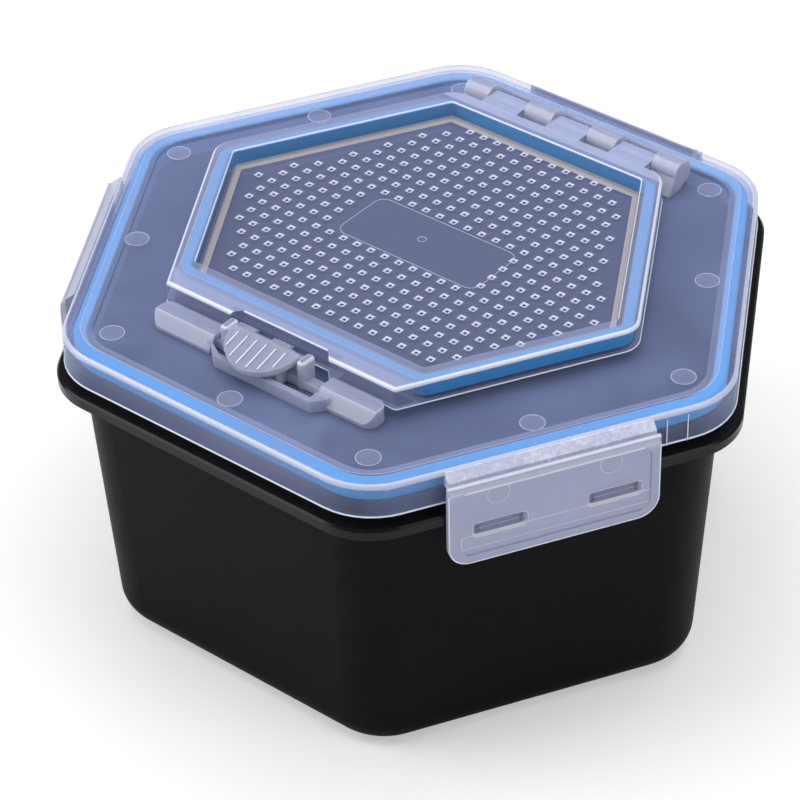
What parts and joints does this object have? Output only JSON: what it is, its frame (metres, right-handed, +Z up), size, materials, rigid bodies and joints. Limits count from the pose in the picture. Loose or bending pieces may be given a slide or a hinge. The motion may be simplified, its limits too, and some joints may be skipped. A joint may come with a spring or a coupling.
{
  "type": "bait_box",
  "caption": "Hexagonal fishing bait box with a black tub, a clear sealed lid held by snap latches, and a hinged vented hatch with a sliding thumb catch",
  "frame": {"origin": "centre of the tub's flat base, on the ground", "axes": "+Z up, -Y towards the hatch's sliding catch, +Y towards the hatch's hinge and the back latch, +X to the right seen from the catch"},
  "size_m": [0.1882, 0.1696, 0.0979],
  "materials": {
    "tub_plastic": "finely textured black polypropylene",
    "lid_plastic": "clear, slightly milky polypropylene",
    "hatch_plastic": "clear, slightly milky polypropylene",
    "frosted_plastic": "frosted natural polypropylene",
    "catch_plastic": "frosted natural polypropylene, thicker and whiter",
    "seal_rubber": "soft blue silicone"
  },
  "bodies": {
    "tub": {"tub": "tub_plastic"},
    "lid": {"main_lid": "lid_plastic", "main_gasket": "seal_rubber", "catch_bracket": "frosted_plastic", "hinge_bracket": "frosted_plastic", "hinge_pin": "catch_plastic", "latch_shelf_front_right": "catch_plastic", "latch_shelf_left": "catch_plastic", "latch_shelf_back": "catch_plastic"},
    "hatch": {"hatch_frame": "hatch_plastic", "hatch_sieve": "hatch_plastic", "hatch_gasket": "seal_rubber"},
    "thumb_catch": {"thumb_catch": "catch_plastic"},
    "latch_front_right": {"latch_front_right": "frosted_plastic"},
    "latch_left": {"latch_left": "frosted_plastic"},
    "latch_back": {"latch_back": "frosted_plastic"}
  },
  "joints": [
    {"name": "lid_lift", "type": "slide", "parent": "tub", "child": "lid", "axis": [0, 0, 1], "range_m": [0, 0.06]},
    {"name": "hatch_hinge", "type": "hinge", "parent": "lid", "child": "hatch", "pos_m": [0, 0.0657, 0.0941], "axis": [-1, 0, 0], "range_deg": [0, 110]},
    {"name": "latch_front_right_hinge", "type": "hinge", "parent": "lid", "child": "latch_front_right", "pos_m": [0.07348, -0.04242, 0.087], "axis": [-0.5, -0.866, 0], "range_deg": [0, 120]},
    {"name": "latch_left_hinge", "type": "hinge", "parent": "lid", "child": "latch_left", "pos_m": [-0.07348, -0.04242, 0.087], "axis": [-0.5, 0.866, 0], "range_deg": [0, 120]},
    {"name": "latch_back_hinge", "type": "hinge", "parent": "lid", "child": "latch_back", "pos_m": [0, 0.08485, 0.087], "axis": [1, 0, 0], "range_deg": [0, 120]},
    {"name": "thumb_catch_slide", "type": "slide", "parent": "lid", "child": "thumb_catch", "axis": [1, 0, 0], "range_m": [0, 0.0052]}
  ]
}
